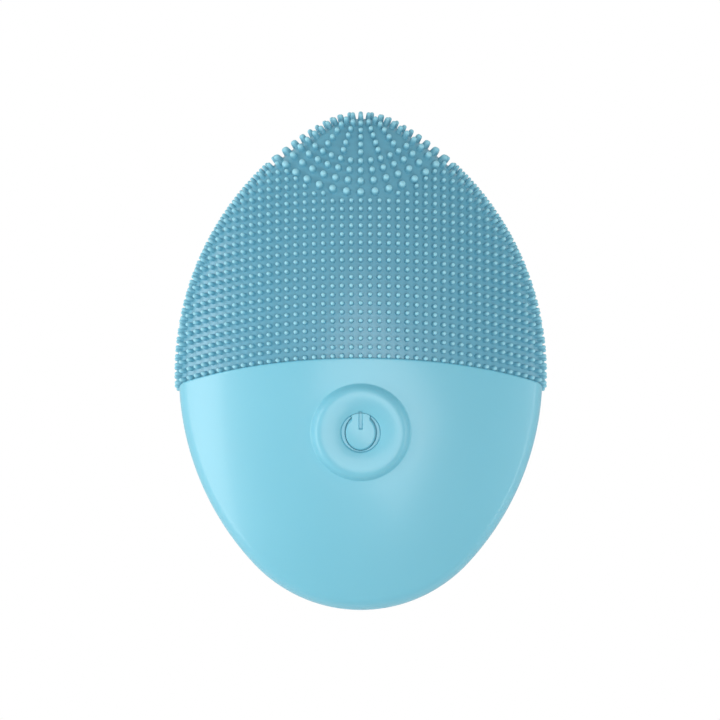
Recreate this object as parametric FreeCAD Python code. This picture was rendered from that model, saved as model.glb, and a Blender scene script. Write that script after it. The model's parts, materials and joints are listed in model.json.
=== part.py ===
import FreeCAD, Part
import math
import os

# A hand-held facial cleansing brush, egg shaped, lying on its back.
# Millimetres. +Y runs towards the bristled tip, +X to the right, +Z up out of the front, where the button is.
# The origin is the middle of the small flat on the back that the brush rests on.

V = FreeCAD.Vector
X = V(1, 0, 0)
Y = V(0, 1, 0)
Z = V(0, 0, 1)
FAR = 100.0  # reaches past the whole brush from anywhere in it

# ---- outer body --------------------------------------------------------------------------------------
HALF_WIDTH = 33.0  # half of the widest cross line, which lies at y = 0
BOTTOM_LENGTH = 42.85  # from the widest line to the charging end
TIP_LENGTH = 46.8  # from the widest line to the tip
BOTTOM_SIDE_RADIUS = 50.4  # side arc of the outline below the widest line
TIP_SIDE_RADIUS = 51.6  # side arc of the outline above the widest line
FRONT_HEIGHT = 27.4  # top of the front dome above the rest flat
FRONT_CROSS_RADIUS = 49.0
FRONT_LONG_RADIUS = 95.0
BACK_SINK = 0.4  # how far the rest flat cuts into the back dome
BACK_CROSS_RADIUS = 60.0
BACK_LONG_RADIUS = 120.0
PAD_HALF_WIDTH = 11.0  # oval pad round the rest flat, where the bristled silicone keeps the full surface
PAD_HALF_LENGTH = 15.0
RIM_RADIUS = 3.8  # rounding between each dome and the side wall

# ---- layers ------------------------------------------------------------------------------------------
SKIN = 2.0  # depth of the smooth grip silicone, and of the shells below the surface
SLEEVE_INSET = 0.5  # the bristled silicone lies this much below the grip's surface
SHELL_WALL = 1.6
INNER = SKIN + SHELL_WALL  # depth of the cavity's wall below the surface
PARTING_Z = 12.4  # height of the joint between the two shells
SEAM_Y = 2.93  # where the seam between the two silicone parts crosses the front's centre line
SEAM_TILT = 20.0  # degrees: the seam and every bristle row lean back by this much
GASKET_WIDTH = 0.8
GASKET_HEIGHT = 0.6
GAP = 0.05  # clearance of parts that touch or slide

# ---- bristles ----------------------------------------------------------------------------------------
BRISTLE_LENGTH = 1.35
BRISTLE_ROOT_RADIUS = 0.45
BRISTLE_TIP_SHARE = 0.78  # tip radius over root radius
FIRST_ROW = 0.52  # from the seam to the first row
ROW_PITCH = 1.58
COLUMN_PITCH = 1.67
BACK_CLEARANCE = 0.15  # least height of a bristle above the plane that the brush rests on
# Rings round the tip: distance from the tip along the surface, number of bristles, root radius.
TIP_RINGS = (
    (1.9, 8, 0.50),
    (3.65, 16, 0.50),
    (5.0, 16, 0.50),
    (6.35, 16, 0.52),
    (7.9, 16, 0.55),
    (9.4, 16, 0.57),
    (11.15, 32, 0.58),
    (13.0, 32, 0.63),
    (15.0, 32, 0.70),
    (17.15, 32, 0.78),
)
RING_GAP = 1.3  # free space between the outer ring and the straight rows
TIP_RAYS = 32  # directions in which distances from the tip are stepped off
RAY_STEP = 0.25

# ---- button, in a frame whose z = 0 is the front surface under the button ----------------------------
BUTTON_Y = -10.6
RING_OUTER_RADIUS = 9.1
RING_CREST_RADIUS = 7.2
RING_CREST_HEIGHT = 1.0
RING_OUTER_ROUND = 1.9
RING_INNER_ROUND = 10.0
KEY_HOLE_RADIUS = 3.6
KEY_LEDGE_Z = -0.45  # floor of the key's pocket
KEY_BOTTOM_Z = -0.1
KEY_TOP_Z = 0.75
KEY_HALF_WIDTH = 2.7
KEY_HALF_HEIGHT = 3.13
KEY_DOME_RADIUS = 16.0
KEY_NECK_ANGLE = 62.0  # the part of the key that reaches its hole's wall, at the top
KEY_STEM_RADIUS = 2.0
KEY_TRAVEL = 0.3
TICK_WIDTH = 0.65
TICK_START = 0.7
TICK_END = 3.86
TICK_FLOOR_Z = 0.15

# ---- circuit board, in the button's frame ------------------------------------------------------------
BOARD_TOP_Z = -9.4
BOARD_THICKNESS = 1.0
BOARD_WIDTH = 24.0
BOARD_LENGTH = 22.0
POST_X = 10.0
POST_Y = 9.0
POST_RADIUS = 1.9
BOARD_SCREW_RADIUS = 0.8
BOARD_SCREW_LENGTH = 4.0
BOARD_SCREW_HEAD = 1.5
SWITCH_SIZE = 6.0
SWITCH_HEIGHT = 3.5
SWITCH_STEM_RADIUS = 1.7
SWITCH_STEM_OUT = 1.0  # how far the stem stands out of the switch
SWITCH_STEM_IN = 0.7

# ---- battery -----------------------------------------------------------------------------------------
BATTERY_WIDTH = 24.0
BATTERY_LENGTH = 20.0
BATTERY_THICKNESS = 5.5
BATTERY_Y = -6.0
BATTERY_BOTTOM_Z = 6.0
BATTERY_ROUND = 1.5
TRAY_WALL = 1.2
GUARD_LENGTH = 2.8  # the protection board at the battery's tip end

# ---- motor, along Y ----------------------------------------------------------------------------------
MOTOR_Z = 12.6
MOTOR_START_Y = 10.0
MOTOR_LENGTH = 18.0
MOTOR_RADIUS = 5.0
MOTOR_WALL = 0.6
SHAFT_RADIUS = 0.75
SHAFT_END_Y = 35.5
BUSH_RADIUS = 2.0
BUSH_LENGTH = 2.5
RUNNING = 0.02  # radial clearance of the shaft in its bush
ENDCAP_LENGTH = 2.4
MAGNET_LENGTH = 10.0
MAGNET_THICKNESS = 1.1
CORE_RADIUS = 2.9
CORE_LENGTH = 9.0
WEIGHT_RADIUS = 3.2
WEIGHT_LENGTH = 5.0
WEIGHT_HUB_RADIUS = 1.5
SLEEVE_WALL = 1.0
SLEEVE_LENGTH = 13.0
CLAMP_WALL = 1.2
CLAMP_LENGTH = 8.0
CLAMP_EAR = 10.8  # half the clamp's width over its ears
CLAMP_SCREW_X = 9.0

# ---- case screws -------------------------------------------------------------------------------------
CASE_SCREW_X = 19.5
CASE_SCREW_Y = 22.0
BOSS_RADIUS = 3.2
SCREW_RADIUS = 1.0
SCREW_HEAD_RADIUS = 2.1
SCREW_HEAD_HEIGHT = 1.5
SEAT_DEPTH = 2.0  # from the parting plane down to the screw head's seat
THREAD_LENGTH = 3.6
SCREW_PLAY = 0.1

# ---- charging socket, along Y ------------------------------------------------------------------------
SOCKET_RADIUS = 2.6
SOCKET_LENGTH = 12.0
SOCKET_BORE_RADIUS = 1.3
SOCKET_BORE_LENGTH = 9.5
FLANGE_RADIUS = 3.5
FLANGE_LENGTH = 1.2
SEAL_SECTION = 0.4  # radius of the ring seal's section
SOCKET_RIB = 2.0
COVER_HALF_WIDTH = 5.5
COVER_HALF_HEIGHT = 3.5
COVER_THICKNESS = 1.0
COVER_ROUND = 2.0
COVER_GAP = 0.25
HINGE_RELIEF = COVER_THICKNESS + 0.45  # radius about the hinge line that the lower inner edge turns in
FRAME_HALF_WIDTH = 6.8  # insert in the grip's skin that surrounds the port
FRAME_HALF_HEIGHT = 4.7
FRAME_ROUND = 2.8
NOSE_RADIUS = 1.1
NOSE_LENGTH = 0.6
RECESS_RADIUS = 1.9
TERMINAL_X = 1.4
TERMINAL_LENGTH = 2.4
WIRE_RADIUS = 0.45
SOLDER_GAP = 0.3  # from a lead's end to the board, filled by solder


# ======================================================================================================
# Shapes that several pieces are cut from
# ======================================================================================================


def end_radius(length, side_radius):
    """Radius of the end arc that meets both side arcs smoothly and reaches the given length."""
    spread = 2 * HALF_WIDTH * side_radius - HALF_WIDTH**2 - length**2
    return spread / (2 * (side_radius - length))


def egg_wire(inset, z):
    """The body's outline, drawn in by inset, at height z: two side arcs and one end arc each way."""
    edges = []
    halves = ((TIP_LENGTH, TIP_SIDE_RADIUS, 1), (BOTTOM_LENGTH, BOTTOM_SIDE_RADIUS, -1))
    for length, side_radius, way in halves:
        cap = end_radius(length, side_radius)
        side_x = HALF_WIDTH - side_radius
        cap_y = length - cap
        lean = math.atan2(cap_y, -side_x)
        reach = side_radius - inset

        def on_side(angle, sign):
            return V(sign * (side_x + reach * math.cos(angle)), way * reach * math.sin(angle), z)

        for sign in (1, -1):
            edges.append(Part.Arc(on_side(0, sign), on_side(lean / 2, sign), on_side(lean, sign)).toShape())
        end = V(0, way * (length - inset), z)
        edges.append(Part.Arc(on_side(lean, 1), end, on_side(lean, -1)).toShape())
    return Part.Wire(Part.__sortEdges__(edges))


def dome(apex, cross_radius, long_radius, facing):
    """A thick body with one outer face: a cross arc swept along a longer arc. facing is 1 up, -1 down."""
    half = HALF_WIDTH * 1.12
    depth = FRONT_HEIGHT * 1.6
    sweep = 80.0
    sag = cross_radius - math.sqrt(cross_radius**2 - half**2)
    left = V(-half, 0, apex - facing * sag)
    right = V(half, 0, apex - facing * sag)
    low_left = V(-half, 0, apex - facing * depth)
    low_right = V(half, 0, apex - facing * depth)
    arc = Part.Arc(left, V(0, 0, apex), right).toShape()
    sides = [(right, low_right), (low_right, low_left), (low_left, left)]
    outline = Part.Wire([arc] + [Part.LineSegment(a, b).toShape() for a, b in sides])
    pivot = V(0, 0, apex - facing * long_radius)
    face = Part.Face(outline)
    face.rotate(pivot, X, -sweep / 2)
    return face.revolve(pivot, X, sweep)


def sharp_pebble(inset):
    """The whole body with every face drawn in by inset, before its rims are rounded."""
    wall = Part.Face(egg_wire(inset, inset)).extrude(Z * (2 * FRONT_HEIGHT))
    front = dome(FRONT_HEIGHT - inset, FRONT_CROSS_RADIUS - inset, FRONT_LONG_RADIUS - inset, 1)
    back = dome(inset - BACK_SINK, BACK_CROSS_RADIUS - inset, BACK_LONG_RADIUS - inset, -1)
    return wall.common(front).common(back)


def is_rim_edge(edge, inset):
    """True for an edge where a dome meets the side wall."""
    if isinstance(edge.Curve, Part.Line):
        return False
    middle = edge.valueAt((edge.FirstParameter + edge.LastParameter) / 2)
    return egg_wire(inset, middle.z).distToShape(Part.Vertex(middle))[0] < 0.01


def pebble(inset):
    """The whole body with every face drawn in by inset, its rims rounded."""
    body = sharp_pebble(inset)
    rim = [e for e in body.Edges if is_rim_edge(e, inset)]
    return body.makeFillet(RIM_RADIUS - inset, rim).Solids[0]


def box(x0, x1, y0, y1, z0, z1):
    return Part.makeBox(x1 - x0, y1 - y0, z1 - z0, V(x0, y0, z0))


def cylinder(radius, start, end):
    """A round bar from one point to another."""
    return Part.makeCylinder(radius, (end - start).Length, start, end - start)


def along_y(radius, y0, y1, x=0.0, z=PARTING_Z):
    return cylinder(radius, V(x, y0, z), V(x, y1, z))


def upright(radius, x, y, z0, z1):
    return cylinder(radius, V(x, y, z0), V(x, y, z1))


def corners(half_x, half_y):
    return [(sx * half_x, sy * half_y) for sx in (-1, 1) for sy in (-1, 1)]


def front_height_at(y):
    """Height of the front dome's centre line."""
    return FRONT_HEIGHT - FRONT_LONG_RADIUS + math.sqrt(FRONT_LONG_RADIUS**2 - y**2)


def tip_side_of(y):
    """Everything on the tip's side of a plane that crosses the front's centre line at y and leans back."""
    space = box(-FAR, FAR, 0, FAR, -FAR, FAR)
    space.rotate(V(0, 0, 0), X, -SEAM_TILT)
    space.translate(V(0, y, front_height_at(y)))
    return space


BUTTON_TILT = math.degrees(math.asin(-BUTTON_Y / FRONT_LONG_RADIUS))


def at_button(shape):
    """Moves a shape from the button's own frame, with its z along the button's axis, to the brush."""
    placed = shape.copy()
    placed.rotate(V(0, 0, 0), X, BUTTON_TILT)
    placed.translate(V(0, BUTTON_Y, front_height_at(BUTTON_Y)))
    return placed


def button_point(x, y, z):
    return at_button(Part.Vertex(V(x, y, z))).Point


def wire_run(points, radius=WIRE_RADIUS):
    """A round wire along straight runs joined by tangent arcs."""
    edges = []
    last = points[0]
    for before, corner, after in zip(points, points[1:], points[2:]):
        to_before = (before - corner).normalize()
        to_after = (after - corner).normalize()
        turn = math.pi - to_before.getAngle(to_after)
        reach = 0.45 * min((before - corner).Length, (after - corner).Length)
        bend = reach / math.tan(turn / 2)
        start = corner + to_before * reach
        end = corner + to_after * reach
        inward = (to_before + to_after).normalize()
        middle = corner + inward * (bend / math.cos(turn / 2) - bend)
        edges.append(Part.LineSegment(last, start).toShape())
        edges.append(Part.Arc(start, middle, end).toShape())
        last = end
    edges.append(Part.LineSegment(last, points[-1]).toShape())
    path = Part.Wire(edges)
    section = Part.Wire(Part.Circle(points[0], points[1] - points[0], radius).toShape())
    return path.makePipeShell([section], True, False)


# ======================================================================================================
# Silicone skin and bristles
# ======================================================================================================


def button_ring():
    """The raised ring round the key: a soft crest, steep outside and dished inside."""
    inner_height = RING_CREST_HEIGHT - RING_INNER_ROUND + math.sqrt(
        RING_INNER_ROUND**2 - (RING_CREST_RADIUS - KEY_HOLE_RADIUS) ** 2
    )
    base = -SKIN / 2
    crest = V(RING_CREST_RADIUS, 0, RING_CREST_HEIGHT)

    def outside(angle):
        reach = RING_OUTER_ROUND
        return crest + V(reach * math.sin(angle), 0, reach * (math.cos(angle) - 1))

    def inside(radius):
        drop = RING_INNER_ROUND - math.sqrt(RING_INNER_ROUND**2 - (RING_CREST_RADIUS - radius) ** 2)
        return V(radius, 0, RING_CREST_HEIGHT - drop)

    inner = V(KEY_HOLE_RADIUS, 0, inner_height)
    middle = (KEY_HOLE_RADIUS + RING_CREST_RADIUS) / 2
    edges = [
        Part.Arc(inner, inside(middle), crest).toShape(),
        Part.Arc(crest, outside(math.pi / 4), outside(math.pi / 2)).toShape(),
        Part.LineSegment(outside(math.pi / 2), V(RING_OUTER_RADIUS, 0, base)).toShape(),
        Part.LineSegment(V(RING_OUTER_RADIUS, 0, base), V(KEY_HOLE_RADIUS, 0, base)).toShape(),
        Part.LineSegment(V(KEY_HOLE_RADIUS, 0, base), inner).toShape(),
    ]
    face = Part.Face(Part.Wire(edges))
    return at_button(face.revolve(V(0, 0, 0), Z, 360))


def tick_slot():
    """The short upright stroke of the power sign, cut across the key and its hole's edge."""
    half = TICK_WIDTH / 2
    return at_button(box(-half, half, TICK_START, TICK_END, TICK_FLOOR_Z, SKIN))


def end_bar(half_x, half_z, rounding):
    """A bar along Y through the charging end, with round corners, centred on the socket's axis."""
    bar = box(-half_x, half_x, -FAR, -BOTTOM_LENGTH / 2, PARTING_Z - half_z, PARTING_Z + half_z)
    long_edges = [e for e in bar.Edges if abs(e.tangentAt(e.FirstParameter).y) > 0.99]
    return bar.makeFillet(rounding, long_edges)


def cover_prism(grow):
    return end_bar(COVER_HALF_WIDTH + grow, COVER_HALF_HEIGHT + grow, COVER_ROUND + grow)


def frame_prism():
    return end_bar(FRAME_HALF_WIDTH, FRAME_HALF_HEIGHT, FRAME_ROUND)


def grip_skin(outer, shell_space):
    """Smooth silicone of the lower half, with the button ring and openings for the key and the port."""
    skin = outer.cut(tip_side_of(SEAM_Y)).fuse(button_ring()).cut(shell_space)
    pocket = upright(KEY_HOLE_RADIUS, 0, 0, KEY_LEDGE_Z, SKIN)
    stem_hole = upright(KEY_STEM_RADIUS + GAP, 0, 0, -2 * SKIN, SKIN)
    skin = skin.cut(at_button(pocket)).cut(at_button(stem_hole)).cut(tick_slot())
    return skin.cut(frame_prism())


def cover_hinge_point():
    """The cover's lower outer edge, which it turns about."""
    rim_centre_y = -BOTTOM_LENGTH + RIM_RADIUS
    back_radius = BACK_LONG_RADIUS - RIM_RADIUS
    rim_centre_z = BACK_LONG_RADIUS - BACK_SINK - math.sqrt(back_radius**2 - rim_centre_y**2)
    z = PARTING_Z - COVER_HALF_HEIGHT
    drop = max(rim_centre_z - z, 0.0)
    return V(0, rim_centre_y - math.sqrt(RIM_RADIUS**2 - drop**2), z)


def port_frame(outer, shell_space):
    """The insert round the port: flush outside, with the cover's pocket and the way to the socket."""
    hinge = cover_hinge_point()
    across = X * (2 * COVER_HALF_WIDTH)
    turning_room = cylinder(HINGE_RELIEF, hinge - across, hinge + across).common(cover_prism(COVER_GAP))
    frame = frame_prism().common(outer.cut(shell_space))
    frame = frame.cut(cover_prism(COVER_GAP).cut(pebble(COVER_THICKNESS))).cut(turning_room)
    recess = along_y(RECESS_RADIUS, -BOTTOM_LENGTH - SKIN, -BOTTOM_LENGTH + SKIN + GAP)
    return frame.cut(recess).cut(socket_space())


def rest_pad(outer):
    """The oval round the rest flat, at the grip's level."""
    rim = Part.Ellipse(V(0, PAD_HALF_LENGTH, -1), V(PAD_HALF_WIDTH, 0, -1), V(0, 0, -1))
    column = Part.Face(Part.Wire(rim.toShape())).extrude(Z * FRONT_HEIGHT / 2)
    return outer.common(column)


def bristle_sleeve(outer, shell_space):
    """Silicone of the upper half that the bristles stand on, with its share of the rest pad."""
    body = pebble(SLEEVE_INSET).fuse(rest_pad(outer))
    return body.common(tip_side_of(SEAM_Y)).cut(shell_space).removeSplitter()


def bristle(root, normal, root_radius):
    return Part.makeCone(root_radius, root_radius * BRISTLE_TIP_SHARE, BRISTLE_LENGTH, root, normal)


class Surface:
    """The sleeve's outer surface, as the points at one distance from the body's sharp core."""

    def __init__(self):
        self.core = sharp_pebble(RIM_RADIUS)
        self.distance = RIM_RADIUS - SLEEVE_INSET

    def nearest(self, point):
        """The point of the surface nearest to the given one, and its outward normal."""
        foot = self.core.distToShape(Part.Vertex(point))[1][0][0]
        normal = (point - foot).normalize()
        return foot + normal * self.distance, normal

    def walk(self, start, heading, steps):
        """Points along the straightest line on the surface from start."""
        point, normal = self.nearest(start)
        points = [point]
        for _ in range(steps):
            point, normal = self.nearest(point + heading * RAY_STEP)
            heading = (heading - normal * heading.dot(normal)).normalize()
            points.append(point)
        return points


def spaced(points, pitch, count=None, start=0.0):
    """Points at equal distances along a chain of points. A count spreads them over the whole chain."""
    total = sum((b - a).Length for a, b in zip(points, points[1:]))
    if count is not None:
        pitch = total / count
    placed = []
    travelled = 0.0
    wanted = start
    for a, b in zip(points, points[1:]):
        length = (b - a).Length
        while wanted <= travelled + length:
            placed.append(a + (b - a) * ((wanted - travelled) / length))
            wanted += pitch
        travelled += length
    if count is not None and len(placed) == count:
        placed.append(points[-1])
    return placed


def tip_rings(surface):
    """Roots of the bristles in the rings round the tip: [(ring's distance, root radius, points)]."""
    wall_low = BACK_LONG_RADIUS - BACK_SINK - math.sqrt(
        (BACK_LONG_RADIUS - RIM_RADIUS) ** 2 - (TIP_LENGTH - RIM_RADIUS) ** 2
    )
    wall_high = FRONT_HEIGHT - FRONT_LONG_RADIUS + math.sqrt(
        (FRONT_LONG_RADIUS - RIM_RADIUS) ** 2 - (TIP_LENGTH - RIM_RADIUS) ** 2
    )
    pole = V(0, TIP_LENGTH - SLEEVE_INSET, (wall_low + wall_high) / 2)
    half = TIP_RAYS // 2
    steps = int(TIP_RINGS[-1][0] / RAY_STEP) + 2
    rays = []
    for i in range(half + 1):
        angle = math.pi * i / half
        rays.append(surface.walk(pole, V(math.sin(angle), 0, math.cos(angle)), steps))
    rings = [(0.0, TIP_RINGS[0][2], [pole])]
    for distance, count, radius in TIP_RINGS:
        low = int(distance / RAY_STEP)
        share = distance / RAY_STEP - low
        arc = [ray[low] * (1 - share) + ray[low + 1] * share for ray in rays]
        right = spaced(arc, 0, count // 2)
        left = [V(-p.x, p.y, p.z) for p in right[1:-1]]
        rings.append((distance, radius, right + left))
    return rings


def row_points(base, y):
    """Roots of one straight row: a flat cut round the body, stepped off both ways from the front's middle."""
    lean = math.radians(SEAM_TILT)
    normal = V(0, math.cos(lean), -math.sin(lean))
    middle = V(0, y, front_height_at(y))
    wire = base.slice(normal, middle.dot(normal))[0]
    chain = wire.discretize(Distance=COLUMN_PITCH / 6)
    half = [p for p in chain if p.x > 0.001]
    top = max(range(len(half)), key=lambda i: half[i].z if half[i].x < COLUMN_PITCH else -FAR)
    half = half[top:] + half[:top]
    if (half[1] - half[0]).Length > COLUMN_PITCH:
        half = [half[0]] + half[:0:-1]
    crossing = V(0, half[0].y, half[0].z)
    right = spaced([crossing] + half, COLUMN_PITCH)
    sides = [p for p in right[1:] if p.x > COLUMN_PITCH / 2]
    return right[:1] + sides + [V(-p.x, p.y, p.z) for p in sides]


def all_bristles():
    """Every bristle of the sleeve: rings round the tip, then straight rows down to the seam."""
    surface = Surface()
    base = pebble(SLEEVE_INSET)
    solids = []
    rings = tip_rings(surface)
    for _, radius, roots in rings:
        for root in roots:
            point, normal = surface.nearest(root)
            solids.append(bristle(point, normal, radius))
    outer = [surface.nearest(p)[0] for p in rings[-1][2]]
    tip = V(0, TIP_LENGTH - SLEEVE_INSET, PARTING_Z)
    start = FRONT_LONG_RADIUS * math.asin(SEAM_Y / FRONT_LONG_RADIUS) + FIRST_ROW
    end_of_rows = FRONT_LONG_RADIUS * math.asin((TIP_LENGTH - RIM_RADIUS) / FRONT_LONG_RADIUS)
    for row in range(int((end_of_rows - start) / ROW_PITCH) + 1):
        y = FRONT_LONG_RADIUS * math.sin((start + row * ROW_PITCH) / FRONT_LONG_RADIUS)
        for root in row_points(base, y):
            near = min(outer, key=lambda p: (p - root).Length)
            if (near - root).Length < RING_GAP or (root - tip).Length < (near - tip).Length:
                continue
            point, normal = surface.nearest(root)
            end = point + normal * BRISTLE_LENGTH
            lowest = end.z - BRISTLE_ROOT_RADIUS * BRISTLE_TIP_SHARE * math.sqrt(1 - normal.z**2)
            if lowest > BACK_CLEARANCE:
                solids.append(bristle(point, normal, BRISTLE_ROOT_RADIUS))
    return Part.makeCompound(solids)


# ======================================================================================================
# Shells, gasket and case screws
# ======================================================================================================


def screw(head_radius, head_height, radius, length, seat, direction):
    """A pan-head screw: its head stands behind the seat point, and its shank runs along direction."""
    head = cylinder(head_radius, seat - direction * head_height, seat)
    return head.fuse(cylinder(radius, seat, seat + direction * length)).removeSplitter()


def case_screw_places():
    return corners(CASE_SCREW_X, CASE_SCREW_Y)


def socket_space():
    """Room for the socket's body, its ring seal and its flange, through both shells."""
    face = socket_face()
    seal_floor = flange_start() - 2 * SEAL_SECTION - GAP
    body = along_y(SOCKET_RADIUS + GAP, face, face + SOCKET_LENGTH + GAP)
    seat = along_y(FLANGE_RADIUS + GAP, seal_floor, face + 2 * SHELL_WALL + FLANGE_LENGTH)
    return body.fuse(seat)


def socket_rib(inside):
    """A rib across the cavity that grips the socket's body behind its flange."""
    end = -BOTTOM_LENGTH + SKIN + 0.8 * SOCKET_LENGTH
    half = SOCKET_RADIUS + 2 * SHELL_WALL
    return box(-half, half, end - SOCKET_RIB, end, 0, FRONT_HEIGHT).common(inside)


def front_shell(outer, cavity, inside):
    shell = outer.cut(cavity)
    for x, y in case_screw_places():
        shell = shell.fuse(upright(BOSS_RADIUS, x, y, 0, FRONT_HEIGHT).common(inside))
    for x, y in corners(POST_X, POST_Y):
        post = at_button(upright(POST_RADIUS, x, y, BOARD_TOP_Z, 0))
        shell = shell.fuse(post.common(inside))
    shell = shell.fuse(socket_rib(inside))
    shell = shell.common(box(-FAR, FAR, -FAR, FAR, PARTING_Z, FAR))
    for x, y in case_screw_places():
        top = PARTING_Z + THREAD_LENGTH + GAP
        shell = shell.cut(upright(SCREW_RADIUS + RUNNING, x, y, PARTING_Z - 1, top))
    for x, y in corners(POST_X, POST_Y):
        hole = upright(BOARD_SCREW_RADIUS + RUNNING, x, y, BOARD_TOP_Z - 1, BOARD_TOP_Z + BOARD_SCREW_LENGTH)
        shell = shell.cut(at_button(hole))
    stem_hole = upright(KEY_STEM_RADIUS + GAP, 0, 0, -2 * INNER, 0)
    return shell.cut(at_button(stem_hole)).cut(socket_space())


def battery_tray(inside):
    """Low walls on the rear shell that hold the battery from all four sides."""
    half_x = BATTERY_WIDTH / 2 + GAP
    near = BATTERY_Y - BATTERY_LENGTH / 2 - GAP
    far = BATTERY_Y + BATTERY_LENGTH / 2 + GUARD_LENGTH + GAP
    top = BATTERY_BOTTOM_Z + 0.7 * BATTERY_THICKNESS
    third = BATTERY_LENGTH / 3
    walls = [
        box(half_x, half_x + TRAY_WALL, BATTERY_Y - third, BATTERY_Y + third, 0, top),
        box(-half_x - TRAY_WALL, -half_x, BATTERY_Y - third, BATTERY_Y + third, 0, top),
        box(-third, third, near - TRAY_WALL, near, 0, top),
        box(-third, third, far, far + TRAY_WALL, 0, top),
    ]
    return [wall.common(inside) for wall in walls]


def motor_middle():
    return MOTOR_START_Y + MOTOR_LENGTH / 2


def motor_saddle(inside):
    """A block on the rear shell with a trough for the lower half of the motor in its rubber sleeve."""
    y0 = motor_middle() - CLAMP_LENGTH / 2
    block = box(-CLAMP_EAR, CLAMP_EAR, y0, y0 + CLAMP_LENGTH, 0, MOTOR_Z).common(inside)
    trough = along_y(MOTOR_RADIUS + SLEEVE_WALL, y0 - 1, y0 + CLAMP_LENGTH + 1, z=MOTOR_Z)
    return block.cut(trough)


def gasket_groove():
    start = SKIN + (SHELL_WALL - GASKET_WIDTH) / 2
    outer = Part.Face(egg_wire(start, PARTING_Z - GASKET_HEIGHT)).extrude(Z * GASKET_HEIGHT)
    inner = Part.Face(egg_wire(start + GASKET_WIDTH, PARTING_Z - GASKET_HEIGHT)).extrude(Z * GASKET_HEIGHT)
    half = FLANGE_RADIUS + 3 * GASKET_WIDTH
    opening = box(-half, half, -FAR, -BOTTOM_LENGTH / 2, 0, FAR)
    return outer.cut(inner).cut(opening)


def rear_shell(outer, cavity, inside):
    shell = outer.cut(cavity)
    for x, y in case_screw_places():
        shell = shell.fuse(upright(BOSS_RADIUS, x, y, 0, FRONT_HEIGHT).common(inside))
    shell = shell.fuse(socket_rib(inside))
    shell = shell.common(box(-FAR, FAR, -FAR, FAR, -FAR, PARTING_Z))
    shell = shell.fuse(battery_tray(inside)).fuse(motor_saddle(inside)).removeSplitter()
    seat = PARTING_Z - SEAT_DEPTH
    for x, y in case_screw_places():
        shell = shell.cut(upright(SCREW_RADIUS + SCREW_PLAY, x, y, 0, FRONT_HEIGHT))
        shell = shell.cut(upright(SCREW_HEAD_RADIUS + SCREW_PLAY, x, y, 0, seat))
    for x in (-CLAMP_SCREW_X, CLAMP_SCREW_X):
        low = MOTOR_Z - THREAD_LENGTH - GAP
        shell = shell.cut(upright(SCREW_RADIUS + RUNNING, x, motor_middle(), low, FRONT_HEIGHT))
    return shell.cut(socket_space()).cut(gasket_groove())


def case_screws():
    seat = PARTING_Z - SEAT_DEPTH
    length = SEAT_DEPTH + THREAD_LENGTH
    return Part.makeCompound(
        [
            screw(SCREW_HEAD_RADIUS, SCREW_HEAD_HEIGHT, SCREW_RADIUS, length, V(x, y, seat), Z)
            for x, y in case_screw_places()
        ]
    )


# ======================================================================================================
# Button and circuit board
# ======================================================================================================


def power_button():
    """The domed key inside the ring, the neck that joins it to the top of its hole, and its stem."""
    outline = Part.Ellipse(V(0, KEY_HALF_HEIGHT, 0), V(KEY_HALF_WIDTH, 0, 0), V(0, 0, 0))
    disc = Part.Face(Part.Wire(outline.toShape())).extrude(Z * (KEY_TOP_Z - KEY_BOTTOM_Z))
    neck = Part.makeCylinder(
        KEY_HOLE_RADIUS - GAP, KEY_TOP_Z - KEY_BOTTOM_Z, V(0, 0, 0), Z, KEY_NECK_ANGLE
    )
    neck.rotate(V(0, 0, 0), Z, 90 - KEY_NECK_ANGLE / 2)
    cap = disc.fuse(neck)
    cap.translate(Z * KEY_BOTTOM_Z)
    cap = cap.common(Part.makeSphere(KEY_DOME_RADIUS, V(0, 0, KEY_TOP_Z - KEY_DOME_RADIUS)))
    stem = upright(KEY_STEM_RADIUS, 0, 0, switch_stem_top() + RUNNING, KEY_BOTTOM_Z)
    return at_button(cap.fuse(stem).removeSplitter()).cut(tick_slot())


def switch_stem_top():
    return BOARD_TOP_Z + SWITCH_HEIGHT + SWITCH_STEM_OUT


def switch_body():
    half = SWITCH_SIZE / 2
    top = BOARD_TOP_Z + SWITCH_HEIGHT
    body = box(-half, half, -half, half, BOARD_TOP_Z, top)
    well = upright(SWITCH_STEM_RADIUS + GAP, 0, 0, top - SWITCH_STEM_IN - KEY_TRAVEL - GAP, top)
    return at_button(body.cut(well))


def switch_stem():
    top = switch_stem_top()
    low = BOARD_TOP_Z + SWITCH_HEIGHT - SWITCH_STEM_IN
    return at_button(upright(SWITCH_STEM_RADIUS, 0, 0, low, top))


def circuit_board():
    half_x = BOARD_WIDTH / 2
    half_y = BOARD_LENGTH / 2
    board = box(-half_x, half_x, -half_y, half_y, BOARD_TOP_Z - BOARD_THICKNESS, BOARD_TOP_Z)
    for x, y in corners(POST_X, POST_Y):
        low = BOARD_TOP_Z - 2 * BOARD_THICKNESS
        board = board.cut(upright(BOARD_SCREW_RADIUS + SCREW_PLAY, x, y, low, BOARD_TOP_Z + 1))
    return at_button(board)


def board_screws():
    seat_z = BOARD_TOP_Z - BOARD_THICKNESS
    head_height = BOARD_SCREW_HEAD * 0.7
    length = BOARD_SCREW_LENGTH + BOARD_THICKNESS - GAP
    return at_button(
        Part.makeCompound(
            [
                screw(BOARD_SCREW_HEAD, head_height, BOARD_SCREW_RADIUS, length, V(x, y, seat_z), Z)
                for x, y in corners(POST_X, POST_Y)
            ]
        )
    )


def on_board(x, y, width, length, height, top_side=True):
    """A block soldered to the board, on its button side or under it."""
    z0 = BOARD_TOP_Z if top_side else BOARD_TOP_Z - BOARD_THICKNESS - height
    return at_button(box(x - width / 2, x + width / 2, y - length / 2, y + length / 2, z0, z0 + height))


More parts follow.
